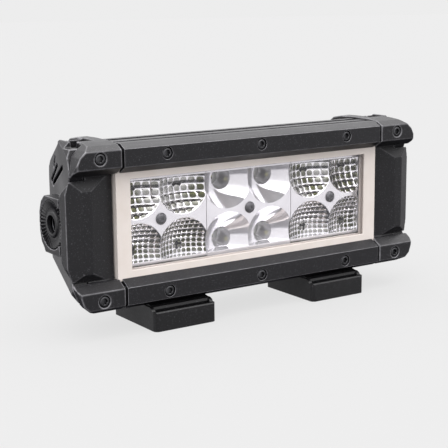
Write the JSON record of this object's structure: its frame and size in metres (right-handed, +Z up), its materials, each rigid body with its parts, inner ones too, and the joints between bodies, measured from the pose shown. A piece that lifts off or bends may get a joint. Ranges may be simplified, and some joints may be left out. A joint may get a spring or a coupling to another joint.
{
  "type": "led light bar",
  "caption": "Short double-row LED light bar with finned body, cream lens seal, end caps, toothed side mount discs and two sliding feet.",
  "frame": {"origin": "on the ground under the middle of the lamp, at the undersides of the feet", "axes": "+X along the bar to the viewer's right, -Y out of the lens, +Z up"},
  "size_m": [0.2052, 0.054, 0.0901],
  "materials": {
    "powder_coat": "satin black powder coat with a fine speckle",
    "cast_black": "black powder coat on die-cast aluminium, fine orange peel",
    "foot_black": "satin black, a little darker than the body",
    "screw_black": "black oxide, satin",
    "steel": "plated steel",
    "rubber": "matte",
    "cream_seal": "matte cream silicone",
    "clear_lens": "clear polycarbonate, glossy",
    "bright_reflector": "metallised plastic, mirror bright",
    "white_board": "white solder mask",
    "driver_parts": "green board with black parts",
    "led_phosphor": "yellow phosphor under a clear dome"
  },
  "bodies": {
    "lamp": {"heatsink_housing": "powder_coat", "upper_bezel_rail": "powder_coat", "lower_bezel_rail": "powder_coat", "left_end_cap": "cast_black", "right_end_cap": "cast_black", "left_end_plate": "cast_black", "right_end_plate": "cast_black", "left_mount_disc": "cast_black", "right_mount_disc": "cast_black", "upper_rail_screw_1": "screw_black", "upper_rail_screw_2": "screw_black", "upper_rail_screw_3": "screw_black", "lower_rail_screw_1": "screw_black", "lower_rail_screw_2": "screw_black", "lower_rail_screw_3": "screw_black", "upper_left_cap_screw": "screw_black", "upper_right_cap_screw": "screw_black", "lower_left_cap_screw": "screw_black", "lower_right_cap_screw": "screw_black", "left_mount_bush": "steel", "right_mount_bush": "steel", "reflector_screw_left": "steel", "reflector_screw_centre": "steel", "reflector_screw_right": "steel", "left_reflector_end_screw": "steel", "right_reflector_end_screw": "steel", "left_end_gasket": "rubber", "right_end_gasket": "rubber", "cable_gland": "rubber", "breather_vent": "rubber", "lens_seal": "cream_seal", "lens": "clear_lens", "reflector_left": "bright_reflector", "reflector_centre": "bright_reflector", "reflector_right": "bright_reflector", "led_board": "white_board", "driver_board": "driver_parts", "led_upper_1": "led_phosphor", "led_upper_2": "led_phosphor", "led_upper_3": "led_phosphor", "led_upper_4": "led_phosphor", "led_upper_5": "led_phosphor", "led_upper_6": "led_phosphor", "led_lower_1": "led_phosphor", "led_lower_2": "led_phosphor", "led_lower_3": "led_phosphor", "led_lower_4": "led_phosphor", "led_lower_5": "led_phosphor", "led_lower_6": "led_phosphor"},
    "left_foot_body": {"left_foot": "foot_black", "left_foot_nut": "steel", "left_foot_bolt": "steel"},
    "right_foot_body": {"right_foot": "foot_black", "right_foot_nut": "steel", "right_foot_bolt": "steel"}
  },
  "joints": [
    {"name": "left_foot_slide", "type": "slide", "parent": "lamp", "child": "left_foot_body", "axis": [1, 0, 0], "range_m": [-0.018, 0.028]},
    {"name": "right_foot_slide", "type": "slide", "parent": "lamp", "child": "right_foot_body", "axis": [1, 0, 0], "range_m": [-0.028, 0.018]}
  ]
}
